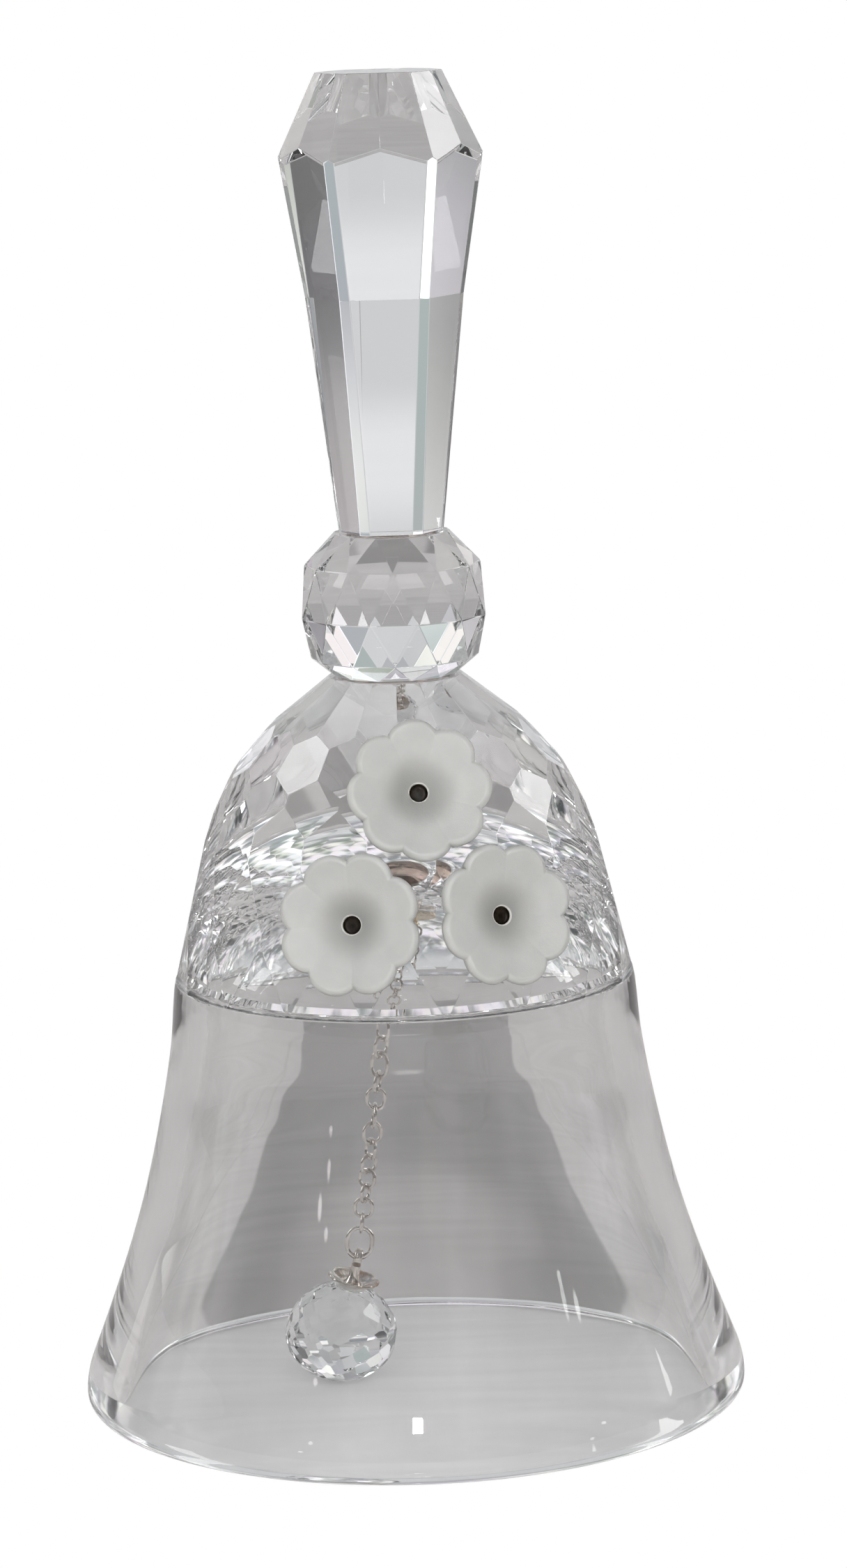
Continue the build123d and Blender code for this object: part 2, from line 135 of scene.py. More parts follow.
# ---- studio: lit bands and dark bands beside the bell, by the sideways part of a direction
BACK_TONES = (-0.45, 0.35, 0.22, 0.66)
BRIGHT_BAND = (0.22, 0.28, 0.38, 0.46, 0.55)     # rises, is full, falls, ends; strength
DARK_BAND = (0.55, 0.6, 0.66, 0.72, 0.85)
OUTER_BAND = (0.80, 0.84, 0.93, 0.97, 0.7)
ROOM_SCALE = 5.5
ROOM_TONES = (0.55, 1.8)
ROOM_TINT = 0.35
SMALL_LAMPS = 9.0
MATT_DIMMING = 0.45              # the room is this much dimmer on matt faces
FLASH = (0.0, -0.54, 0.26)
LAMPS = {                        # place, aim, width, height, power and special settings
    "front_soft": ((0.02, -0.54, 0.26), (0, 0, 0.06), 0.06, 0.05, 0.22,
                   {"glossy": False, "spread": 60}),
    "front_glint": (FLASH, (0, 0, 0.06), 0.03, 0.02, 3.0, {"diffuse": False}),
    "high_glint": ((0, -0.42, 0.46), (0, 0, 0), 0.03, 0.02, 2.0, {"diffuse": False}),
    "left_soft": ((-0.8, 0.1, 0.5), (0, 0, 0.07), 0.25, 0.6, 2.0, {}),
    "right_soft": ((0.8, 0.2, 0.4), (0, 0, 0.07), 0.2, 0.5, 1.5, {}),
}
CAMERA_PLACE = (0.0, -0.520, 0.158)
CAMERA_AIM = (0.0026, 0.0, 0.0656)
CAMERA_ROLL = math.radians(-1.64)
CAMERA_LENS = 115.33
CAMERA_FILM = 36.0
BOUNCES = 28


# ------------------------------------------------------------------ node tools
class Nodes:
    """Short calls for making and linking shader nodes in one tree."""

    def __init__(self, tree):
        self.tree = tree
        tree.nodes.clear()

    def feed(self, node, values):
        for key, value in values.items():
            if isinstance(value, bpy.types.NodeSocket):
                self.tree.links.new(value, node.inputs[key])
            else:
                node.inputs[key].default_value = value

    def add(self, kind, values=None, **settings):
        node = self.tree.nodes.new(kind)
        for key, value in settings.items():
            setattr(node, key, value)
        self.feed(node, values or {})
        return node

    def maths(self, operation, *values, clamp=False):
        sockets = dict(enumerate(values))
        return self.add("ShaderNodeMath", sockets, operation=operation, use_clamp=clamp).outputs[0]

    def spread(self, value, low, high, to_low=0.0, to_high=1.0, soft=False):
        sockets = {"Value": value, "From Min": low, "From Max": high,
                   "To Min": to_low, "To Max": to_high}
        curve = "SMOOTHSTEP" if soft else "LINEAR"
        return self.add("ShaderNodeMapRange", sockets, interpolation_type=curve).outputs[0]

    def blend(self, mask, first, second):
        node = self.add("ShaderNodeMix", data_type="RGBA")
        self.feed(node, {0: mask, 6: first, 7: second})
        return node.outputs[2]

    def place(self):
        return self.add("ShaderNodeTexCoord").outputs["Object"]

    def noise(self, place, scale, detail=3.0):
        sockets = {"Vector": place, "Scale": scale, "Detail": detail}
        return self.add("ShaderNodeTexNoise", sockets).outputs["Fac"]

    def stretched(self, place, scale):
        return self.add("ShaderNodeMapping", {"Vector": place, "Scale": scale}).outputs[0]


def effect(name, inputs, outputs):
    """A node group with plain number sockets; returns the group and its tools."""
    group = bpy.data.node_groups.new(name, "ShaderNodeTree")
    n = Nodes(group)
    for label, value in inputs.items():
        socket = group.interface.new_socket(label, in_out="INPUT", socket_type="NodeSocketFloat")
        socket.default_value = value
    for label in outputs:
        group.interface.new_socket(label, in_out="OUTPUT", socket_type="NodeSocketFloat")
    n.source = group.nodes.new("NodeGroupInput").outputs
    n.result = group.nodes.new("NodeGroupOutput")
    return group, n


def make_polish_marks():
    """Haze patches and fine hairlines, from 0 to 1, and the slow swell of a polished surface."""
    group, n = effect("polish_marks", {"Size": 1.0, "Patches": 0.5, "Hairlines": 0.5},
                      ("Haze", "Swell"))
    scaled = n.add("ShaderNodeVectorMath", {0: n.place(), "Scale": n.source["Size"]},
                   operation="SCALE").outputs[0]
    patch = n.spread(n.noise(scaled, 60.0, 5.0), 0.5, 0.75)
    hair = n.noise(n.stretched(scaled, (900.0, 900.0, 70.0)), 1.0)
    lines = n.spread(hair, 0.64, 0.74)
    haze = n.maths("ADD", n.maths("MULTIPLY", patch, n.source["Patches"]),
                   n.maths("MULTIPLY", lines, n.source["Hairlines"]), clamp=True)
    n.feed(n.result, {"Haze": haze, "Swell": n.noise(scaled, 120.0, 1.0)})
    return group


def make_round_place():
    """Distance from a piece's own upright axis, in millimetres."""
    group, n = effect("round_place", {}, ("Radius",))
    parts = n.add("ShaderNodeSeparateXYZ", {0: n.place()}).outputs
    squares = n.maths("ADD", n.maths("MULTIPLY", parts[0], parts[0]),
                      n.maths("MULTIPLY", parts[1], parts[1]))
    radius = n.maths("MULTIPLY", n.maths("SQRT", squares), 1000.0)
    n.feed(n.result, {"Radius": radius})
    return group


POLISH = make_polish_marks()
ROUND_PLACE = make_round_place()


def material(name):
    made = bpy.data.materials.new(name)
    made.use_nodes = True
    n = Nodes(made.node_tree)
    n.output = n.add("ShaderNodeOutputMaterial")
    n.made = made
    return n


def surface(n, shader):
    n.feed(n.output, {"Surface": shader.outputs[0]})
    return n.made


def grouped(n, group, **values):
    node = n.add("ShaderNodeGroup", node_tree=group)
    n.feed(node, values)
    return node.outputs


def clear_glass(name, colour, ior, size, patches, hairlines, swell):
    n = material(name)
    marks = grouped(n, POLISH, Size=size, Patches=patches, Hairlines=hairlines)
    rough = n.spread(marks["Haze"], 0.0, 1.0, 0.0, 0.14)
    bump = n.add("ShaderNodeBump", {"Height": marks["Swell"], "Distance": swell * MM})
    shader = n.add("ShaderNodeBsdfPrincipled", {
        "Base Color": colour, "Roughness": rough, "IOR": ior, "Transmission Weight": 1.0,
        "Metallic": 0.0, "Normal": bump.outputs[0]})
    return surface(n, shader)


def frosted_glass(name):
    n = material(name)
    where = n.place()
    ring = grouped(n, ROUND_PLACE)
    cloud = n.spread(n.noise(where, 350.0, 4.0), 0.3, 0.7)
    body = n.blend(cloud, (0.545, 0.55, 0.53, 1), (0.595, 0.595, 0.575, 1))
    # painted shade: the front darkens towards the hole, over the soft well round it
    well = n.spread(ring["Radius"], 0.8, 4.6, 1.0, 0.0, soft=True)
    shaded = n.blend(n.maths("MULTIPLY", well, 0.8), body, (0.27, 0.27, 0.25, 1))
    # painted highlight: a thin bright ring at the edge of the hole
    rim = n.spread(ring["Radius"], 1.02, 1.1, 1.0, 0.0)
    colour = n.blend(rim, shaded, (0.86, 0.84, 0.78, 1))
    grain = n.noise(where, 9000.0, 4.0)
    ripple = n.noise(where, 700.0, 3.0)
    height = n.maths("ADD", n.maths("MULTIPLY", grain, 0.4), ripple)
    rough = n.spread(grain, 0.2, 0.8, 0.5, 0.7)
    bump = n.add("ShaderNodeBump", {"Height": height, "Distance": 0.00006, "Strength": 0.6})
    shader = n.add("ShaderNodeBsdfPrincipled", {
        "Base Color": colour, "Roughness": rough, "IOR": 1.5, "Transmission Weight": 0.12,
        "Subsurface Weight": 0.45, "Subsurface Radius": (0.0016, 0.0016, 0.0015),
        "Subsurface Scale": 1.0, "Metallic": 0.0, "Normal": bump.outputs[0]})
    return surface(n, shader)


def plated_metal(name, bright, warm, roughness):
    n = material(name)
    marks = grouped(n, POLISH, Size=8.0, Patches=1.0, Hairlines=0.8)
    colour = n.blend(marks["Haze"], bright, warm)
    rough = n.spread(marks["Haze"], 0.0, 1.0, roughness, roughness + 0.22)
    bump = n.add("ShaderNodeBump", {"Height": marks["Swell"], "Distance": 0.00003,
                                    "Strength": 0.6})
    shader = n.add("ShaderNodeBsdfPrincipled", {
        "Base Color": colour, "Roughness": rough, "Metallic": 1.0, "Normal": bump.outputs[0]})
    return surface(n, shader)


def hole_shade_and_adhesive(name):
    """Painted shade and old adhesive at the bottom of a flower's hole, near black and mottled."""
    n = material(name)
    mottle = n.spread(n.noise(n.place(), 2500.0, 5.0), 0.4, 0.7)
    colour = n.blend(mottle, (0.006, 0.004, 0.002, 1), (0.022, 0.014, 0.008, 1))
    rough = n.spread(mottle, 0.0, 1.0, 0.35, 0.8)
    shader = n.add("ShaderNodeBsdfPrincipled", {"Base Color": colour, "Roughness": rough,
                                                "Specular IOR Level": 0.1})
    return surface(n, shader)


BELL_GLASS = clear_glass("bell_glass", (0.96, 0.962, 0.962, 1), 1.52, 1.0, 0.12, 0.25, 0.012)
CUT_CRYSTAL = clear_glass("cut_crystal", (0.975, 0.98, 0.985, 1), 1.56, 2.0, 0.0, 0.12, 0.0004)
SET_BOND = clear_glass("set_bond", (0.42, 0.33, 0.28, 1), 1.5, 4.0, 0.5, 0.2, 0.01)
ADHESIVE = clear_glass("clear_adhesive", (0.97, 0.97, 0.95, 1), 1.48, 4.0, 0.6, 0.2, 0.02)
FROSTED = frosted_glass("frosted_glass")
# near-black lining of the flowers' holes: painted shade and old adhesive
HOLE_SHADE_LOOK = hole_shade_and_adhesive("painted_shade_lining")
CHAIN_METAL = plated_metal("chain_metal", (0.70, 0.67, 0.64, 1), (0.42, 0.33, 0.27, 1), 0.10)
CAP_METAL = plated_metal("cap_metal", (0.62, 0.58, 0.54, 1), (0.34, 0.22, 0.15, 1), 0.14)
ANCHOR_METAL = plated_metal("anchor_metal", (0.78, 0.66, 0.50, 1), (0.45, 0.33, 0.2, 1), 0.2)


# ------------------------------------------------------------------ mesh tools
def add_piece(name, mesh, look, body, slot, *nodes, matrix=None):
    piece = bpy.data.objects.new(name, mesh)
    bpy.context.scene.collection.objects.link(piece)
    if matrix is not None:
        piece.matrix_world = matrix
    mesh.materials.clear()
    mesh.materials.append(look)
    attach(piece, body)
    if nodes:
        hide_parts(*nodes)
    return piece


def mesh_from(bm, name):
    mesh = bpy.data.meshes.new(name)
    bm.to_mesh(mesh)
    bm.free()
    return mesh


def give(look, *names):
    for name in names:
        NODES[name].data.materials.clear()
        NODES[name].data.materials.append(look)


def grid_mesh(name, points, close_rows=True, close_columns=True):
    """A skin over a grid of points, given row by row; each way may close on itself."""
    rows, columns = points.shape[:2]
    faces = []
    for i in range(rows if close_rows else rows - 1):
        for j in range(columns if close_columns else columns - 1):
            below, beside = (i + 1) % rows, (j + 1) % columns
            faces.append((i * columns + j, i * columns + beside,
                          below * columns + beside, below * columns + j))
    mesh = bpy.data.meshes.new(name)
    mesh.from_pydata([tuple(p) for p in points.reshape(-1, 3)], [], faces)
    mesh.update()
    bm = bmesh.new()
    bm.from_mesh(mesh)
    bmesh.ops.remove_doubles(bm, verts=bm.verts, dist=1e-7)
    bmesh.ops.recalc_face_normals(bm, faces=bm.faces)
    for face in bm.faces:
        face.smooth = True
    bm.to_mesh(mesh)
    bm.free()
    return mesh


def skin_facts(node):
    """Area-weighted middle of a node's skin, and its directions of spread, least first."""
    mesh = NODES[node].data
    centres = np.array([face.center[:] for face in mesh.polygons])
    areas = np.array([face.area for face in mesh.polygons])
    middle = (centres * areas[:, None]).sum(0) / areas.sum()
    away = (centres - middle) * np.sqrt(areas)[:, None]
    return middle, np.linalg.svd(away, full_matrices=False)[2][::-1]


def dish_place(node, front, hole_r=0.0):
    """Own frame of a round, shallow piece: +Z out of its front, origin at its front's middle."""
    middle, ways = skin_facts(node)
    out = Vector(ways[0])
    if out.dot(front) < 0:
        out.negate()
    points = np.array([v.co[:] for v in NODES[node].data.vertices]) - middle
    height = points @ np.array(out)
    reach = np.linalg.norm(points - height[:, None] * np.array(out), axis=1)
    near = reach < max(hole_r * 1.05, reach.min() + 0.02 * MM)
    origin = Vector(middle) + out * float(height[near].max())
    tip = Vector(points[np.argmax(reach)])
    side = (tip - out * tip.dot(out)).normalized()
    turn = Matrix((side, out.cross(side), out)).transposed()
    return Matrix.Translation(origin) @ turn.to_4x4()


# ------------------------------------------------------------------ cut glass
def keep_whole_facets(bm, facets):
    """Joins the triangles of each flat facet into one face."""
    inner = [e for e in bm.edges if e.link_faces and all(f in facets for f in e.link_faces)]
    corners = list(dict.fromkeys(v for e in inner for v in e.verts))
    bmesh.ops.dissolve_limit(bm, angle_limit=FLAT, use_dissolve_boundaries=False,
                             verts=corners, edges=inner)


def ease_edges(bm, width, ridges):
    """Narrow rounded edges, as polishing leaves them."""
    made = bmesh.ops.bevel(bm, geom=ridges, offset=width, offset_type="OFFSET", segments=2,
                           profile=0.6, affect="EDGES", clamp_overlap=True)
    for face in made["faces"]:
        face.smooth = True


def grind_back_facets(bm):
    """Shallow upright facets across the grip's back, which stand as faint lines in its front."""
    backs = [f for f in bm.faces if f.normal.y > 0.9 and f.calc_area() > 20 * MM * MM]
    for face in backs:
        wide = max(abs(v.co.x) for v in face.verts)
        level_out = face.normal.copy()
        for share, rise in BACK_CUTS:
            parts = [f for f in bm.faces if f.normal.dot(level_out) > 0.99999]
            sides = [e for f in parts for e in f.edges]
            parts = list(dict.fromkeys(parts + sides + [v for e in sides for v in e.verts]))
            cut = bmesh.ops.bisect_plane(bm, geom=parts, plane_co=(share * wide, 0, 0),
                                         plane_no=(1, 0, 0), dist=1e-7)
            on_cut = [v for v in cut["geom_cut"] if isinstance(v, bmesh.types.BMVert)]
            for vert in dict.fromkeys(on_cut):
                vert.co += level_out * rise * MM
            bm.normal_update()


def cut_piece(name, node, body, width=FACET_EDGE, extra=None):
    bm = bmesh.new()
    bm.from_mesh(NODES[node].data)
    bmesh.ops.remove_doubles(bm, verts=bm.verts, dist=WELD)
    keep_whole_facets(bm, set(bm.faces))
    if extra:
        bm.normal_update()
        extra(bm)
    for face in bm.faces:
        face.smooth = False
    ease_edges(bm, width, [e for e in bm.edges if e.calc_face_angle(0) > RIDGE])
    return add_piece(name, mesh_from(bm, name), CUT_CRYSTAL, body, "cut_crystal", node)


# ------------------------------------------------------------------ turned glass of the bell
def even_curve(points, count):
    """Points evenly spaced along a smooth curve through the given ones."""
    points = np.array(points)
    steps = np.r_[0, np.cumsum(np.sqrt(np.linalg.norm(np.diff(points, axis=0), axis=1)))]
    slopes = np.gradient(points, steps, axis=0)
    fine = []
    for i in range(len(points) - 1):
        t = np.linspace(0, 1, 24, endpoint=False)[:, None]
        width = steps[i + 1] - steps[i]
        fine.append((2 * t**3 - 3 * t**2 + 1) * points[i] + (t**3 - 2 * t**2 + t) * width * slopes[i]
                    + (3 * t**2 - 2 * t**3) * points[i + 1] + (t**3 - t**2) * width * slopes[i + 1])
    fine = np.vstack([*fine, points[-1:]])
    length = np.r_[0, np.cumsum(np.linalg.norm(np.diff(fine, axis=0), axis=1))]
    even = np.linspace(0, length[-1], count)
    return np.column_stack([np.interp(even, length, fine[:, k]) for k in (0, 1)])


def full_circles(mesh, outside, least=40):
    """Radius and height of the whole circles on one side of a turned skin, lowest first."""
    counts = {}
    for face in mesh.polygons:
        centre = face.center
        facing = face.normal.x * centre.x + face.normal.y * centre.y
        if (facing > 0) != outside:
            continue
        for index in face.vertices:
            place = mesh.vertices[index].co
            key = (round(math.hypot(place.x, place.y) / MM, 2), round(place.z / MM, 2))
            counts.setdefault(key, set()).add(index)
    rings = sorted((key for key, found in counts.items() if len(found) >= least),
                   key=lambda ring: (ring[1], ring[0] if outside else -ring[0]))
    return [(r * MM, z * MM) for r, z in rings]


def thinned(points, least):
    kept = [points[0]]
    for point in points[1:]:
        if math.dist(point, kept[-1]) >= least:
            kept.append(point)
    return kept


def bell_outline(mesh):
    """Outline of the turned glass, from the waist down, round the rim and up to the ceiling."""
    outside = [ring for ring in full_circles(mesh, True) if ring[1] < SKIRT_H - 0.1 * MM]
    waist = min(math.hypot(v.co.x, v.co.y) for v in mesh.vertices
                if abs(v.co.z - SKIRT_H) < 0.001 * MM)
    lip_top = max(r for r, z in outside)
    near = 0.01 * MM
    outer_lip = [ring for ring in outside if ring[0] > 0.9 * lip_top and ring[1] < LIP_H + near]
    outer_wall = [ring for ring in outside if ring[1] > LIP_H - near] + [(waist, SKIRT_H)]
    inside = full_circles(mesh, False, 20)
    mouth = [ring for ring in inside if ring[1] < MOUTH_H + 0.1 * near]
    inner_wall = [ring for ring in inside if ring[1] > MOUTH_H - 0.1 * near]
    inner_wall.sort(key=lambda ring: (ring[1], -ring[0]))
    top = inner_wall[-1][1]
    mouth.sort(key=lambda ring: ring[1])
    outer_lip.sort(key=lambda ring: -ring[1])
    return [even_curve(thinned(outer_wall[::-1], OUTLINE_STEP), OUTER_ROWS),
            even_curve(outer_lip, LIP_ROWS),
            even_curve(mouth, MOUTH_ROWS),
            even_curve(thinned(inner_wall, OUTLINE_STEP) + [(0.0, top)], INNER_ROWS)]


def is_dome_facet(face):
    """True on the cut outside of the dome; False on the skirt, the ledge and the hollow."""
    centre = face.calc_center_median()
    if centre.z < SKIRT_H - 0.01 * MM:
        return False
    reach = math.hypot(centre.x, centre.y) or 1.0
    outward = (face.normal.x * centre.x + face.normal.y * centre.y) / reach
    return outward + face.normal.z > 0.05


def soft_step(value):
    value = min(1.0, max(0.0, value))
    return value * value * (3 - 2 * value)


def turn_of(vert):
    return math.atan2(vert.co.y, vert.co.x)


def in_turn(verts):
    return sorted(verts, key=turn_of)


def reach_of(loop, angle):
    """Distance from the axis to the side of a loop, in one direction."""
    after = next((i for i, v in enumerate(loop) if turn_of(v) > angle), 0)
    p, q = loop[after - 1].co, loop[after].co
    side = q - p
    return (p.x * q.y - p.y * q.x) / (math.cos(angle) * side.y - math.sin(angle) * side.x)


def join_loops(bm, upper, lower):
    """A band of triangles between two loops that are both sorted by their turn."""
    i, j = 0, 0
    while i < len(upper) or j < len(lower):
        up, low = upper[i % len(upper)], lower[j % len(lower)]
        next_up = upper[(i + 1) % len(upper)]
        next_low = lower[(j + 1) % len(lower)]
        up_turn = turn_of(next_up) if i + 1 < len(upper) else math.pi + i - len(upper) + 2
        low_turn = turn_of(next_low) if j + 1 < len(lower) else math.pi + j - len(lower) + 2
        if j >= len(lower) or (i < len(upper) and up_turn <= low_turn):
            bm.faces.new((up, low, next_up))
            i += 1
        else:
            bm.faces.new((up, low, next_low))
            j += 1


def bell_mesh():
    """The cut dome of the frame, joined to a finely turned skirt and hollow."""
    source = NODES["bell_shell"].data
    bm = bmesh.new()
    bm.from_mesh(source)
    bmesh.ops.remove_doubles(bm, verts=bm.verts, dist=WELD)
    bm.normal_update()
    bmesh.ops.delete(bm, geom=[f for f in bm.faces if not is_dome_facet(f)], context="FACES")
    keep_whole_facets(bm, set(bm.faces))
    for face in bm.faces:
        face.smooth = False
    ease_edges(bm, FACET_EDGE, [e for e in bm.edges
                                if len(e.link_faces) == 2 and e.calc_face_angle(0) > RIDGE])
    waist = in_turn(dict.fromkeys(v for e in bm.edges if e.is_boundary for v in e.verts))
    outline = bell_outline(source)
    outer_rows = len(outline[0])
    rows = np.vstack(outline)
    rows[0][1] -= WAIST_STEP
    angles = np.linspace(-math.pi, math.pi, SKIRT_TURNS, endpoint=False)
    facet_reach = [reach_of(waist, a) - rows[0][0] for a in angles]
    rings = []
    for i, (radius, height) in enumerate(rows[:-1]):
        share = soft_step(1 - (SKIRT_H - height) / WAIST_BLEND) if i < outer_rows else 0.0
        rings.append([bm.verts.new(((radius + share * more) * math.cos(a),
                                    (radius + share * more) * math.sin(a), height))
                      for a, more in zip(angles, facet_reach)])
    pole = bm.verts.new((0, 0, rows[-1][1]))
    for upper, lower in zip(rings, rings[1:]):
        for j in range(SKIRT_TURNS):
            k = (j + 1) % SKIRT_TURNS
            bm.faces.new((upper[j], lower[j], lower[k], upper[k])).smooth = True
    for j in range(SKIRT_TURNS):
        bm.faces.new((rings[-1][j], pole, rings[-1][(j + 1) % SKIRT_TURNS])).smooth = True
    join_loops(bm, waist, rings[0])
    bmesh.ops.remove_doubles(bm, verts=bm.verts, dist=0.0005 * MM)
    bmesh.ops.recalc_face_normals(bm, faces=bm.faces)
    if bm.calc_volume(signed=True) < 0:
        bmesh.ops.reverse_faces(bm, faces=bm.faces)
    for edge in bm.edges:
        if len(edge.link_faces) == 2 and edge.calc_face_angle(0) > SHARP:
            edge.smooth = False
    return mesh_from(bm, "bell")


add_piece("bell", bell_mesh(), BELL_GLASS, "bell", "bell_glass", "bell_shell")
cut_piece("collar", "collar_ball", "bell")
cut_piece("grip", "grip_handle", "bell", extra=grind_back_facets)
cut_piece("clapper_crystal", "clapper_ball", "clapper", CLAPPER_EDGE)


# ------------------------------------------------------------------ flowers
def petal_share(angle):
    """0 in the middle of a petal, 1 in the notch between two."""
    return abs((angle * FLOWER_PETALS / (2 * math.pi) + 0.5) % 1.0 - 0.5) * 2


def flower_front(radius, reach, notch):
    """Height of the front: a bowl with a soft well in the middle and crowned petals."""
    bowl = FLOWER_CUP * (radius / FLOWER_R) ** 2
    well = WELL_DEPTH * (1 - soft_step((radius - FLOWER_HOLE_R) / (WELL_R - FLOWER_HOLE_R)))
    further = (radius / reach - CREASE_START) / (1 - CREASE_START)
    crease = PETAL_CREASE * notch ** 2 * soft_step(further)
    return bowl - well - crease


def flower_mesh(name):
    """A cupped bead with scalloped, rolled petals and a round hole."""
    start = FLOWER_HOLE_R * HOLE_EASE
    sections = []
    for angle in np.linspace(0, 2 * math.pi, FLOWER_STEPS, endpoint=False):
        notch = petal_share(angle)
        reach = FLOWER_R - FLOWER_NOTCH * notch ** NOTCH_ROUNDNESS
        line = []
        for share in np.linspace(0, 1, 30):
            radius = start + (reach - PETAL_EDGE - start) * share
            line.append((radius, flower_front(radius, reach, notch)))
        rim_r, rim_z = line[-1]
        for turn in np.linspace(80, -80, 9):
            swing = math.radians(turn)
            line.append((rim_r + PETAL_EDGE * math.cos(swing),
                         rim_z - PETAL_EDGE + PETAL_EDGE * math.sin(swing)))
        for share in np.linspace(1, 0, 14):
            radius = FLOWER_HOLE_R + (rim_r - FLOWER_HOLE_R) * share
            thick = FLOWER_T * (1 - EDGE_THINNING * share)
            line.append((radius, flower_front(radius, reach, notch) - thick))
        hole_z = flower_front(FLOWER_HOLE_R, reach, 0)
        line += [(FLOWER_HOLE_R, hole_z - 0.5 * FLOWER_T), (FLOWER_HOLE_R, hole_z - 0.12 * MM),
                 (FLOWER_HOLE_R * 1.03, hole_z - 0.03 * MM)]
        sections.append([(r * math.cos(angle), r * math.sin(angle), z) for r, z in line])
    return grid_mesh(name, np.array(sections))


def painted_shade_lining(name):
    """The rough dark bottom of a flower's hole, a lining that carries its painted shade and old
    adhesive.
    """
    rows = [[(r * MM * math.cos(a), r * MM * math.sin(a), z * MM) for r, z in HOLE_SHADE_LINING]
            for a in np.linspace(0, 2 * math.pi, 48, endpoint=False)]
    return grid_mesh(name, np.array(rows), close_columns=False)


for node in ("flower_top", "flower_left", "flower_right"):
    low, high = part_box(node)
    outward = Vector(((low.x + high.x) / 2, (low.y + high.y) / 2, 0))
    seat = dish_place(node, outward, FLOWER_HOLE_R)
    add_piece(node + "_petals", flower_mesh(node + "_petals"), FROSTED, "bell",
              "frosted_glass", node, matrix=seat)
    # a dark lining in each hole, with painted shade and old adhesive
    add_piece(node + "_hole", painted_shade_lining(node + "_hole"), HOLE_SHADE_LOOK, "bell", "clear_adhesive",
              matrix=seat)


# ------------------------------------------------------------------ bonds
def settled_bond(node, body, look):
    """The frame's thin bond, a hair thinner so that its faces don't lie in the glass faces."""
    middle, ways = skin_facts(node)
    mesh = NODES[node].data.copy()
    out = Vector(ways[0])
    for vertex in mesh.vertices:
        height = (vertex.co - Vector(middle)).dot(out)
        vertex.co -= out * height * BOND_SHRINK
    add_piece(node + "_set", mesh, look, body, "clear_adhesive", node)


for node in ("collar_bond", "grip_bond"):
    settled_bond(node, "bell", SET_BOND)
settled_bond("clapper_bond", "clapper", ADHESIVE)
give(ADHESIVE, "anchor_bond", "flower_top_pad", "flower_left_pad", "flower_right_pad")
give(ANCHOR_METAL, "anchor_plate", "anchor_eye")


# ------------------------------------------------------------------ chain
def oval_path(half, straight, steps=18):
    """Middle line of an oval ring that stands on the origin, and the outward way at each point."""
    turns = np.linspace(-math.pi / 2, math.pi / 2, steps)
    right = [(half * math.cos(t), half + half * math.sin(t) + (straight if t > 0 else 0),
              math.cos(t), math.sin(t)) for t in turns]
    left = [(-x, z, -nx, nz) for x, z, nx, nz in right[::-1]]
    return right + left[1:-1]


def wire_ring(name, wire, width, length, seam):
    """An oval ring of drawn wire with a low solder bead on one side."""
    half = (width - wire) / 2
    path = oval_path(half, length - width)
    rows = []
    for index, (x, z, nx, nz) in enumerate(path):
        along = min(abs(index - seam), len(path) - abs(index - seam))
        bead = SEAM_SWELL * math.exp(-(along / SEAM_SPREAD) ** 2)
        row = []
        for t in np.linspace(0, 2 * math.pi, WIRE_SIDES, endpoint=False):
            r = wire / 2 * (1 + bead * (0.6 + 0.4 * math.cos(3 * t)))
            row.append((x + r * math.cos(t) * nx, r * math.sin(t), z + r * math.cos(t) * nz))
        rows.append(row)
    return grid_mesh(name, np.array(rows))


def hung_place(joint, above):
    """Place of a ring whose lower wire carries the joint, as seen up the chain."""
    point = Vector(joint["pos_m"])
    across = Vector(joint["axis"]).normalized()
    up = (Vector(above["pos_m"]) - point).normalized()
    up = (up - across * up.dot(across)).normalized()
    turn = Matrix((across, up.cross(across), up)).transposed()
    return Matrix.Translation(point) @ turn.to_4x4()


hinges = [JOINTS[f"chain_link_{k:02d}_swing"] for k in range(1, LINK_COUNT + 1)]
hinges += [JOINTS["jump_ring_swing"], JOINTS["clapper_swing"]]
link_step = math.dist(hinges[4]["pos_m"], hinges[5]["pos_m"])
link_length = link_step + LINK_PLAY + 2 * LINK_WIRE
for k in range(LINK_COUNT):
    node = f"chain_link_{k + 1:02d}"
    ring = wire_ring(node + "_wire", LINK_WIRE, link_length * LINK_SLIMNESS, link_length,
                     9 if k % 3 else 26)
    add_piece(node + "_wire", ring, CHAIN_METAL, node + "_body", "chain_metal", node,
              matrix=hung_place(hinges[k + 1], hinges[k]))
jump = wire_ring("jump_ring_wire", RING_WIRE, RING_W, RING_L, 12)
add_piece("jump_ring_wire", jump, CHAIN_METAL, "jump_ring_body", "chain_metal", "jump_ring",
          matrix=hung_place(hinges[-1], hinges[-2]))


# ------------------------------------------------------------------ clapper's cap and eye
def cap_mesh(name):
    """A thin dish with a wavy rolled edge; its floor's upper face is at the origin."""
    inner_r = 0.55 * CAP_FOOT_R
    rows = []
    for angle in np.linspace(0, 2 * math.pi, 192, endpoint=False):
        wave = petal_share(angle)
        reach = CAP_R - CAP_WAVE * wave ** 2
        line = [(0.0, 0.0)]
        for share in np.linspace(0.1, 1, CAP_STEPS):
            radius = (reach - CAP_T / 2) * share
            lift = CAP_RISE * soft_step((radius - inner_r) / (reach - inner_r))
            line.append((radius, lift - CAP_DIP * wave * share ** 2))
        end_r, end_z = line[-1]
        for turn in np.linspace(60, -60, 5):
            swing = math.radians(turn)
            line.append((end_r + CAP_T / 2 * math.cos(swing),
                         end_z - CAP_T / 2 + CAP_T / 2 * math.sin(swing)))
        line += [(r, z - CAP_T) for r, z in line[CAP_STEPS:0:-1]] + [(0.0, -CAP_T)]
        rows.append([(r * math.cos(angle), r * math.sin(angle), z) for r, z in line])
    return grid_mesh(name, np.array(rows), close_columns=False)


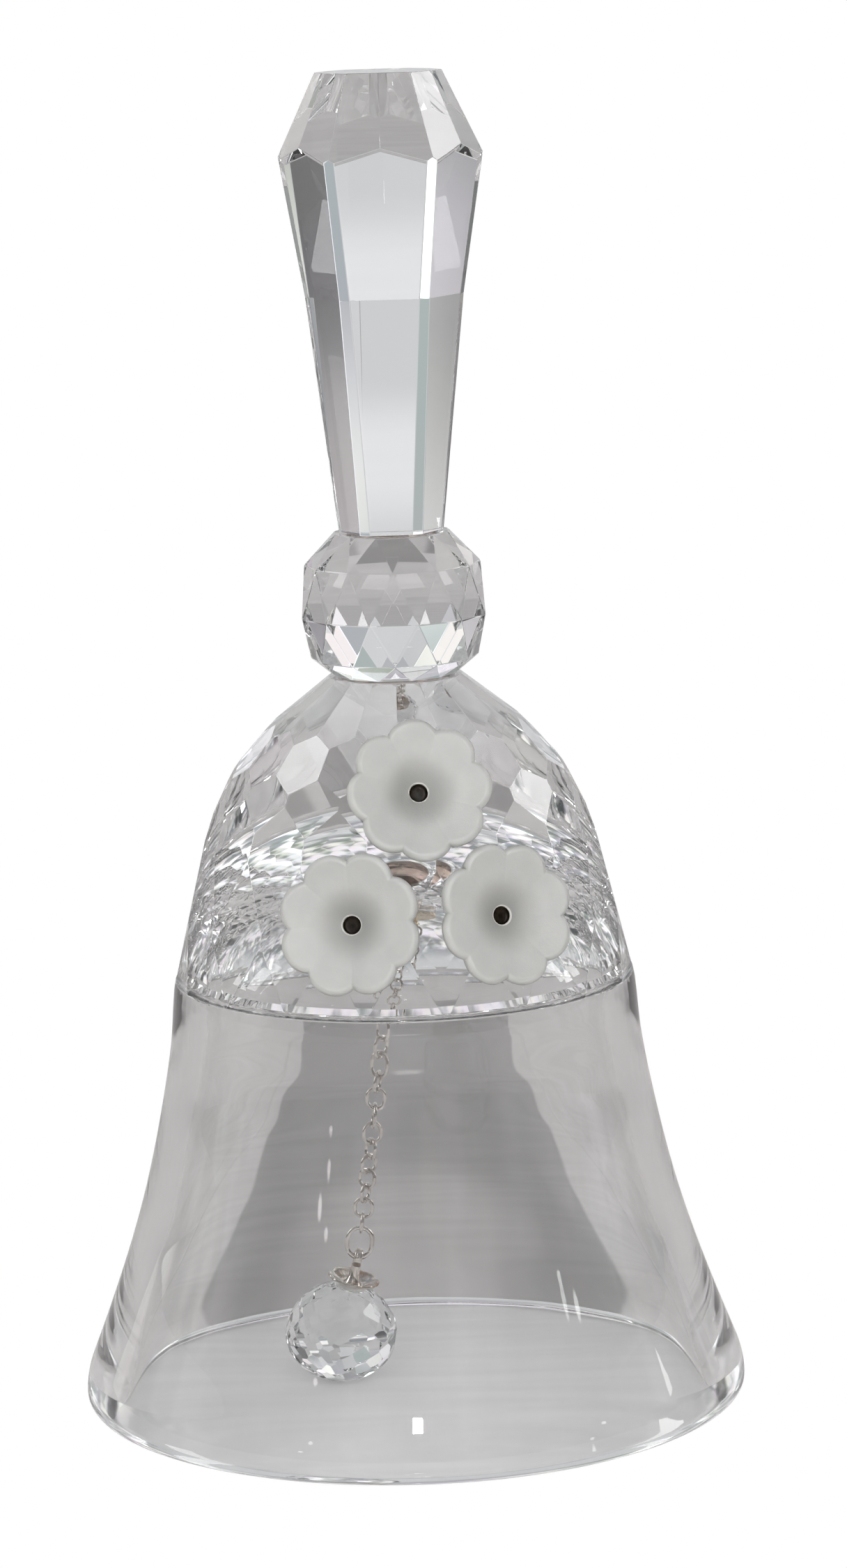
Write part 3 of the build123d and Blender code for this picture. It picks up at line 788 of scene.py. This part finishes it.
def tab_mesh(name):
    """A flared stem with a rounded eye; the eye's hole runs along X."""
    stem = []
    for share in np.linspace(0, 1, 20):
        flare = STEM_R + STEM_FLARE * (1 - share) ** 4 - STEM_TAPER * share
        stem.append([(flare * math.cos(t), flare * math.sin(t), EYE_H * 0.72 * share)
                     for t in np.linspace(0, 2 * math.pi, 36, endpoint=False)])
    body = grid_mesh(name, np.array(stem), close_rows=False)
    rows = []
    middle, spread = (EYE_R + EYE_HOLE_R) / 2, (EYE_R - EYE_HOLE_R) / 2
    for turn in np.linspace(0, 2 * math.pi, 56, endpoint=False):
        row = []
        for t in np.linspace(0, 2 * math.pi, 20, endpoint=False):
            c, s = math.cos(t), math.sin(t)
            r = middle + spread * math.copysign(abs(c) ** SQUARENESS, c)
            row.append((EYE_HALF_T * math.copysign(abs(s) ** SQUARENESS, s),
                        r * math.sin(turn), EYE_H + r * math.cos(turn)))
        rows.append(row)
    eye = grid_mesh(name + "_eye", np.array(rows))
    bm = bmesh.new()
    bm.from_mesh(body)
    bm.from_mesh(eye)
    bpy.data.meshes.remove(eye)
    bpy.data.meshes.remove(body)
    return mesh_from(bm, name)


ball_low, ball_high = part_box("clapper_ball")
cap_up = Vector(JOINTS["clapper_swing"]["pos_m"]) - (ball_low + ball_high) / 2
cap_place = dish_place("clapper_cap", cap_up)
cap_axis = cap_place.to_3x3().col[2]
swing_axis = Vector(JOINTS["clapper_swing"]["axis"])
swing_axis = (swing_axis - cap_axis * swing_axis.dot(cap_axis)).normalized()
tab_turn = Matrix((swing_axis, cap_axis.cross(swing_axis), cap_axis)).transposed()
tab_place = Matrix.Translation(cap_place.translation) @ tab_turn.to_4x4()
add_piece("cap_dish", cap_mesh("cap_dish"), CAP_METAL, "clapper", "cap_metal", "clapper_cap",
          matrix=cap_place)
add_piece("cap_eye", tab_mesh("cap_eye"), CAP_METAL, "clapper", "cap_metal", "clapper_tab",
          matrix=tab_place)


# ------------------------------------------------------------------ stage, light and camera
def stage_floor():
    """A pale table; seen straight on it is as white as the studio, and the glass shows its painted
    light, the bell's painted shadow and a painted glow.
    """
    bm = bmesh.new()
    bmesh.ops.create_grid(bm, x_segments=8, y_segments=8, size=TABLE_SIZE)
    mesh = mesh_from(bm, "floor")
    floor = bpy.data.objects.new("floor", mesh)
    bpy.context.scene.collection.objects.link(floor)
    n = material("pale_table")
    ring = grouped(n, ROUND_PLACE)
    # painted light under the bell, for light that comes in through the glass: a paler colour and
    # more glow
    under = n.spread(ring["Radius"], *UNDER_R, 1.0, 0.0, soft=True)
    grain = n.spread(n.noise(n.stretched(n.place(), (30.0, 260.0, 1.0)), 1.0, 5.0), 0.3, 0.7)
    outside = n.blend(grain, (0.44, 0.425, 0.42, 1), (0.50, 0.485, 0.48, 1))
    # the paler colour under the bell is painted light
    inside = n.blend(grain, (0.54, 0.535, 0.535, 1), (0.60, 0.595, 0.595, 1))
    colour = n.blend(under, outside, inside)
    table = n.add("ShaderNodeBsdfPrincipled", {"Base Color": colour, "Roughness": 0.7})
    path = n.add("ShaderNodeLightPath")
    where = n.add("ShaderNodeSeparateXYZ", {0: n.place()}).outputs
    across = n.maths("ABSOLUTE", where[0])
    # the bell's shadow, painted on the table behind it: a strip with rounded far corners
    corner = n.maths("MULTIPLY", n.spread(where[1], SHADE_END - SHADE_CORNER, SHADE_END),
                     SHADE_CORNER_W)
    sides = n.spread(n.maths("ADD", across, corner), SHADE_HALF + SHADE_BLUR,
                     SHADE_HALF - SHADE_BLUR, soft=True)
    end = n.spread(where[1], SHADE_END, SHADE_END - SHADE_CORNER_W, soft=True)
    start = n.spread(where[1], 0.0, 0.02, soft=True)
    shade = n.maths("MULTIPLY", n.maths("MULTIPLY", sides, end), start)
    # a painted pool of light that lightens the middle of the painted shadow
    sideways = n.maths("POWER", n.maths("DIVIDE", where[0], POOL_SIZE[0]), 2.0)
    away = n.maths("DIVIDE", n.maths("SUBTRACT", where[1], POOL_Y), POOL_SIZE[1])
    from_pool = n.maths("ADD", n.maths("POWER", away, 2.0), sideways)
    pool = n.spread(from_pool, 1.0, 0.1, 0.0, POOL_SHARE, soft=True)
    shade = n.maths("MULTIPLY", shade, n.maths("SUBTRACT", 1.0, pool))
    # painted light: the table glows bright where lit, dim in the painted shadow and more under the
    # bell
    lit_tone = n.spread(n.maths("MAXIMUM", shade, under), 0.0, 1.0, LIT_TABLE_PAINTED_GLOW, SHADOW_PAINTED_GLOW)
    painted_light_level = n.maths("ADD", lit_tone, n.maths("MULTIPLY", under, UNDER_BELL_PAINTED_GLOW))
    # painted glow: a bright patch on the table, seen only in reflections in polished faces
    along = n.maths("ABSOLUTE", n.maths("SUBTRACT", where[1], GLOW_Y))
    glow = n.maths("MULTIPLY", n.spread(along, 0.05, 0.01, soft=True),
                   n.spread(across, 0.06, 0.02, soft=True))
    glow = n.maths("MULTIPLY", n.maths("MULTIPLY", glow, path.outputs["Is Glossy Ray"]),
                   GLOW_STRENGTH)
    lift = n.add("ShaderNodeEmission", {"Color": colour, "Strength": n.maths("ADD", painted_light_level, glow)})
    lit = n.add("ShaderNodeAddShader", {0: table.outputs[0], 1: lift.outputs[0]})
    white = n.add("ShaderNodeEmission", {"Color": (1, 1, 1, 1), "Strength": 1.0})
    mix = n.add("ShaderNodeMixShader", {0: path.outputs["Is Camera Ray"],
                                        1: lit.outputs[0], 2: white.outputs[0]})
    table_look = surface(n, mix)
    table_look.cycles.emission_sampling = "NONE"
    mesh.materials.append(table_look)


def soft_light(name, place, aim, width, height, power, glossy=True, diffuse=True, spread=180):
    data = bpy.data.lights.new(name, "AREA")
    data.shape = "RECTANGLE"
    data.size, data.size_y = width, height
    data.energy = power
    data.spread = math.radians(spread)
    light = bpy.data.objects.new(name, data)
    light.location = place
    light.rotation_euler = (Vector(aim) - Vector(place)).to_track_quat("-Z", "Y").to_euler()
    light.visible_glossy = glossy
    light.visible_transmission = glossy
    light.visible_diffuse = diffuse
    bpy.context.scene.collection.objects.link(light)


def standing_band(n, across, starts, full, falls, ends, strength):
    """A soft upright band of the studio's walls, on both sides of the bell."""
    inner = n.spread(across, starts, full, soft=True)
    return n.maths("MULTIPLY", n.maths("MULTIPLY", inner, n.spread(across, ends, falls, soft=True)),
                   strength)


def studio_world():
    """Pale behind, dim in front; soft lighter and darker standing bands and a few small lamps."""
    world = bpy.data.worlds.new("studio")
    bpy.context.scene.world = world
    world.use_nodes = True
    world.cycles.sampling_method = "NONE"
    n = Nodes(world.node_tree)
    output = n.add("ShaderNodeOutputWorld")
    way = n.add("ShaderNodeTexCoord").outputs["Generated"]
    parts = n.add("ShaderNodeSeparateXYZ", {0: way}).outputs
    back = n.spread(parts[1], *BACK_TONES, soft=True)
    across = n.maths("ABSOLUTE", parts[0])
    level = n.spread(n.maths("ABSOLUTE", parts[2]), 0.5, 0.25, soft=True)
    darker = n.maths("ADD", standing_band(n, across, *DARK_BAND),
                     standing_band(n, across, *OUTER_BAND))
    bands = n.maths("SUBTRACT", n.maths("ADD", 1.0, standing_band(n, across, *BRIGHT_BAND)),
                    n.maths("MULTIPLY", level, darker))
    away = n.maths("MAXIMUM", n.spread(across, 0.12, 0.3, soft=True),
                   n.maths("MAXIMUM", n.spread(parts[2], 0.1, 0.4, soft=True),
                           n.spread(parts[1], 0.3, 0.0, soft=True)))
    cloud = n.add("ShaderNodeTexNoise", {"Vector": way, "Scale": ROOM_SCALE, "Detail": 2.0}).outputs
    patch = n.spread(cloud["Fac"], 0.40, 0.60, *ROOM_TONES, soft=True)
    room = n.add("ShaderNodeMix", {0: away, 2: 1.0, 3: patch}).outputs[0]
    strength = n.maths("MULTIPLY", n.maths("MULTIPLY", back, bands), room)
    lamp = n.add("ShaderNodeTexVoronoi", {"Vector": way, "Scale": 3.2, "Randomness": 1.0})
    spark = n.maths("MULTIPLY", n.spread(lamp.outputs["Distance"], 0.075, 0.05, soft=True),
                    n.maths("MULTIPLY", away, SMALL_LAMPS))
    tint = n.blend(n.maths("MULTIPLY", away, ROOM_TINT), (0.97, 0.985, 1.0, 1), cloud["Color"])
    path = n.add("ShaderNodeLightPath")
    dimming = n.maths("MULTIPLY", path.outputs["Is Diffuse Ray"], MATT_DIMMING)
    for_matt = n.maths("SUBTRACT", 1.0, dimming)
    shown = n.maths("MULTIPLY", n.maths("ADD", strength, spark), for_matt)
    dim = n.add("ShaderNodeBackground", {"Color": tint, "Strength": shown})
    white = n.add("ShaderNodeBackground", {"Color": (1, 1, 1, 1), "Strength": 1.0})
    mix = n.add("ShaderNodeMixShader", {0: path.outputs["Is Camera Ray"],
                                        1: dim.outputs[0], 2: white.outputs[0]})
    n.feed(output, {"Surface": mix.outputs[0]})


def studio_camera():
    data = bpy.data.cameras.new("camera")
    data.sensor_fit = "VERTICAL"
    data.sensor_height = CAMERA_FILM
    data.lens = CAMERA_LENS
    data.clip_start = 0.01
    camera = bpy.data.objects.new("camera", data)
    place, aim = Vector(CAMERA_PLACE), Vector(CAMERA_AIM)
    turn = (aim - place).to_track_quat("-Z", "Y").to_matrix()
    roll = Matrix.Rotation(CAMERA_ROLL, 3, "Z")
    camera.matrix_world = Matrix.Translation(place) @ (turn @ roll).to_4x4()
    bpy.context.scene.collection.objects.link(camera)
    bpy.context.scene.camera = camera


stage_floor()
studio_world()
for lamp, (place, aim, width, height, power, settings) in LAMPS.items():
    soft_light(lamp, place, aim, width, height, power, **settings)
studio_camera()

scene = bpy.context.scene
scene.view_settings.view_transform = "Standard"
scene.cycles.max_bounces = BOUNCES
scene.cycles.transmission_bounces = BOUNCES
scene.cycles.glossy_bounces = 16
scene.cycles.diffuse_bounces = 3
scene.cycles.transparent_max_bounces = 16
scene.cycles.caustics_reflective = True
scene.cycles.caustics_refractive = True
